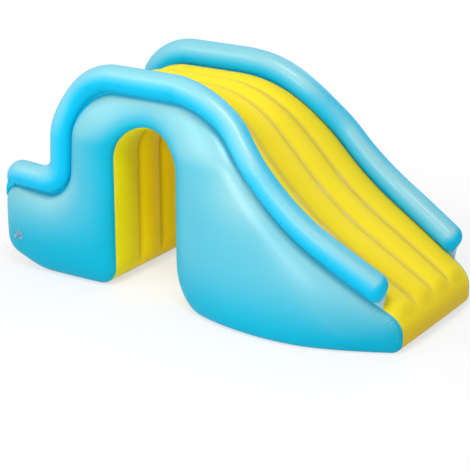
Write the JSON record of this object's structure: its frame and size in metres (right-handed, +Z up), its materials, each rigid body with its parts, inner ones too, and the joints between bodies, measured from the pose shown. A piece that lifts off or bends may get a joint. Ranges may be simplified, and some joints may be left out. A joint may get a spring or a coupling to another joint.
{
  "type": "inflatable water slide",
  "caption": "Inflatable water slide with a stepped rear, an arched passage through its body, a channelled chute between two rail tubes, and capped air valves.",
  "frame": {"origin": "middle of the footprint, on the floor", "axes": "+X the way the rider slides, +Y the rider's left, +Z up"},
  "size_m": [2.34, 1.1814, 1.1442],
  "materials": {
    "blue_vinyl": "glossy blown vinyl",
    "yellow_vinyl": "glossy blown vinyl",
    "clear_vinyl": "translucent soft vinyl",
    "web_vinyl": "plain white vinyl"
  },
  "bodies": {
    "slide_body": {"arch_liner": "yellow_vinyl", "centre_web": "web_vinyl", "climb_panel": "yellow_vinyl", "front_foot_panel": "yellow_vinyl", "left_front_gusset": "clear_vinyl", "left_rail": "blue_vinyl", "left_rail_flange": "blue_vinyl", "left_rail_valve_flange": "clear_vinyl", "left_side_panel": "blue_vinyl", "left_web": "web_vinyl", "main_valve_flange": "clear_vinyl", "rear_foot_panel": "yellow_vinyl", "rear_panel": "yellow_vinyl", "right_front_gusset": "clear_vinyl", "right_rail": "blue_vinyl", "right_rail_flange": "blue_vinyl", "right_rail_valve_flange": "clear_vinyl", "right_side_panel": "blue_vinyl", "right_web": "web_vinyl", "slide_deck": "yellow_vinyl"},
    "main_valve_stem": {"main_valve_stem": "clear_vinyl"},
    "main_valve_plug": {"main_valve_plug": "clear_vinyl"},
    "main_valve_flap": {"main_valve_flap": "clear_vinyl"},
    "right_rail_valve_stem": {"right_rail_valve_stem": "clear_vinyl"},
    "right_rail_valve_plug": {"right_rail_valve_plug": "clear_vinyl"},
    "right_rail_valve_flap": {"right_rail_valve_flap": "clear_vinyl"},
    "left_rail_valve_stem": {"left_rail_valve_stem": "clear_vinyl"},
    "left_rail_valve_plug": {"left_rail_valve_plug": "clear_vinyl"},
    "left_rail_valve_flap": {"left_rail_valve_flap": "clear_vinyl"}
  },
  "joints": [
    {"name": "main_valve_press", "type": "slide", "parent": "slide_body", "child": "main_valve_stem", "axis": [0.1743, 0.9842, 0.0312], "range_m": [0, 0.022]},
    {"name": "main_valve_plug_swing", "type": "hinge", "parent": "main_valve_stem", "child": "main_valve_plug", "pos_m": [-1.03238, -0.4856, 0.184], "axis": [0, -0.0316, 0.9995], "range_deg": [0, 150]},
    {"name": "main_valve_flap_swing", "type": "hinge", "parent": "main_valve_stem", "child": "main_valve_flap", "pos_m": [-1.03083, -0.44934, 0.18515], "axis": [0, 0.0316, -0.9995], "range_deg": [0, 60], "stiffness_Nm_per_rad": 0.002},
    {"name": "right_rail_valve_press", "type": "slide", "parent": "slide_body", "child": "right_rail_valve_stem", "axis": [-0.0081, -0.9885, -0.1513], "range_m": [0, 0.0155]},
    {"name": "right_rail_valve_plug_swing", "type": "hinge", "parent": "right_rail_valve_stem", "child": "right_rail_valve_plug", "pos_m": [-0.93381, -0.31513, 0.52054], "axis": [0, 0.1513, -0.9885], "range_deg": [0, 150]},
    {"name": "right_rail_valve_flap_swing", "type": "hinge", "parent": "right_rail_valve_stem", "child": "right_rail_valve_flap", "pos_m": [-0.93885, -0.34454, 0.51604], "axis": [0, -0.1513, 0.9885], "range_deg": [0, 60], "stiffness_Nm_per_rad": 0.002},
    {"name": "left_rail_valve_press", "type": "slide", "parent": "slide_body", "child": "left_rail_valve_stem", "axis": [-0.0081, 0.9885, -0.1513], "range_m": [0, 0.0155]},
    {"name": "left_rail_valve_plug_swing", "type": "hinge", "parent": "left_rail_valve_stem", "child": "left_rail_valve_plug", "pos_m": [-0.93381, 0.31513, 0.52054], "axis": [0, 0.1513, 0.9885], "range_deg": [0, 150]},
    {"name": "left_rail_valve_flap_swing", "type": "hinge", "parent": "left_rail_valve_stem", "child": "left_rail_valve_flap", "pos_m": [-0.93885, 0.34454, 0.51604], "axis": [0, -0.1513, -0.9885], "range_deg": [0, 60], "stiffness_Nm_per_rad": 0.002}
  ]
}
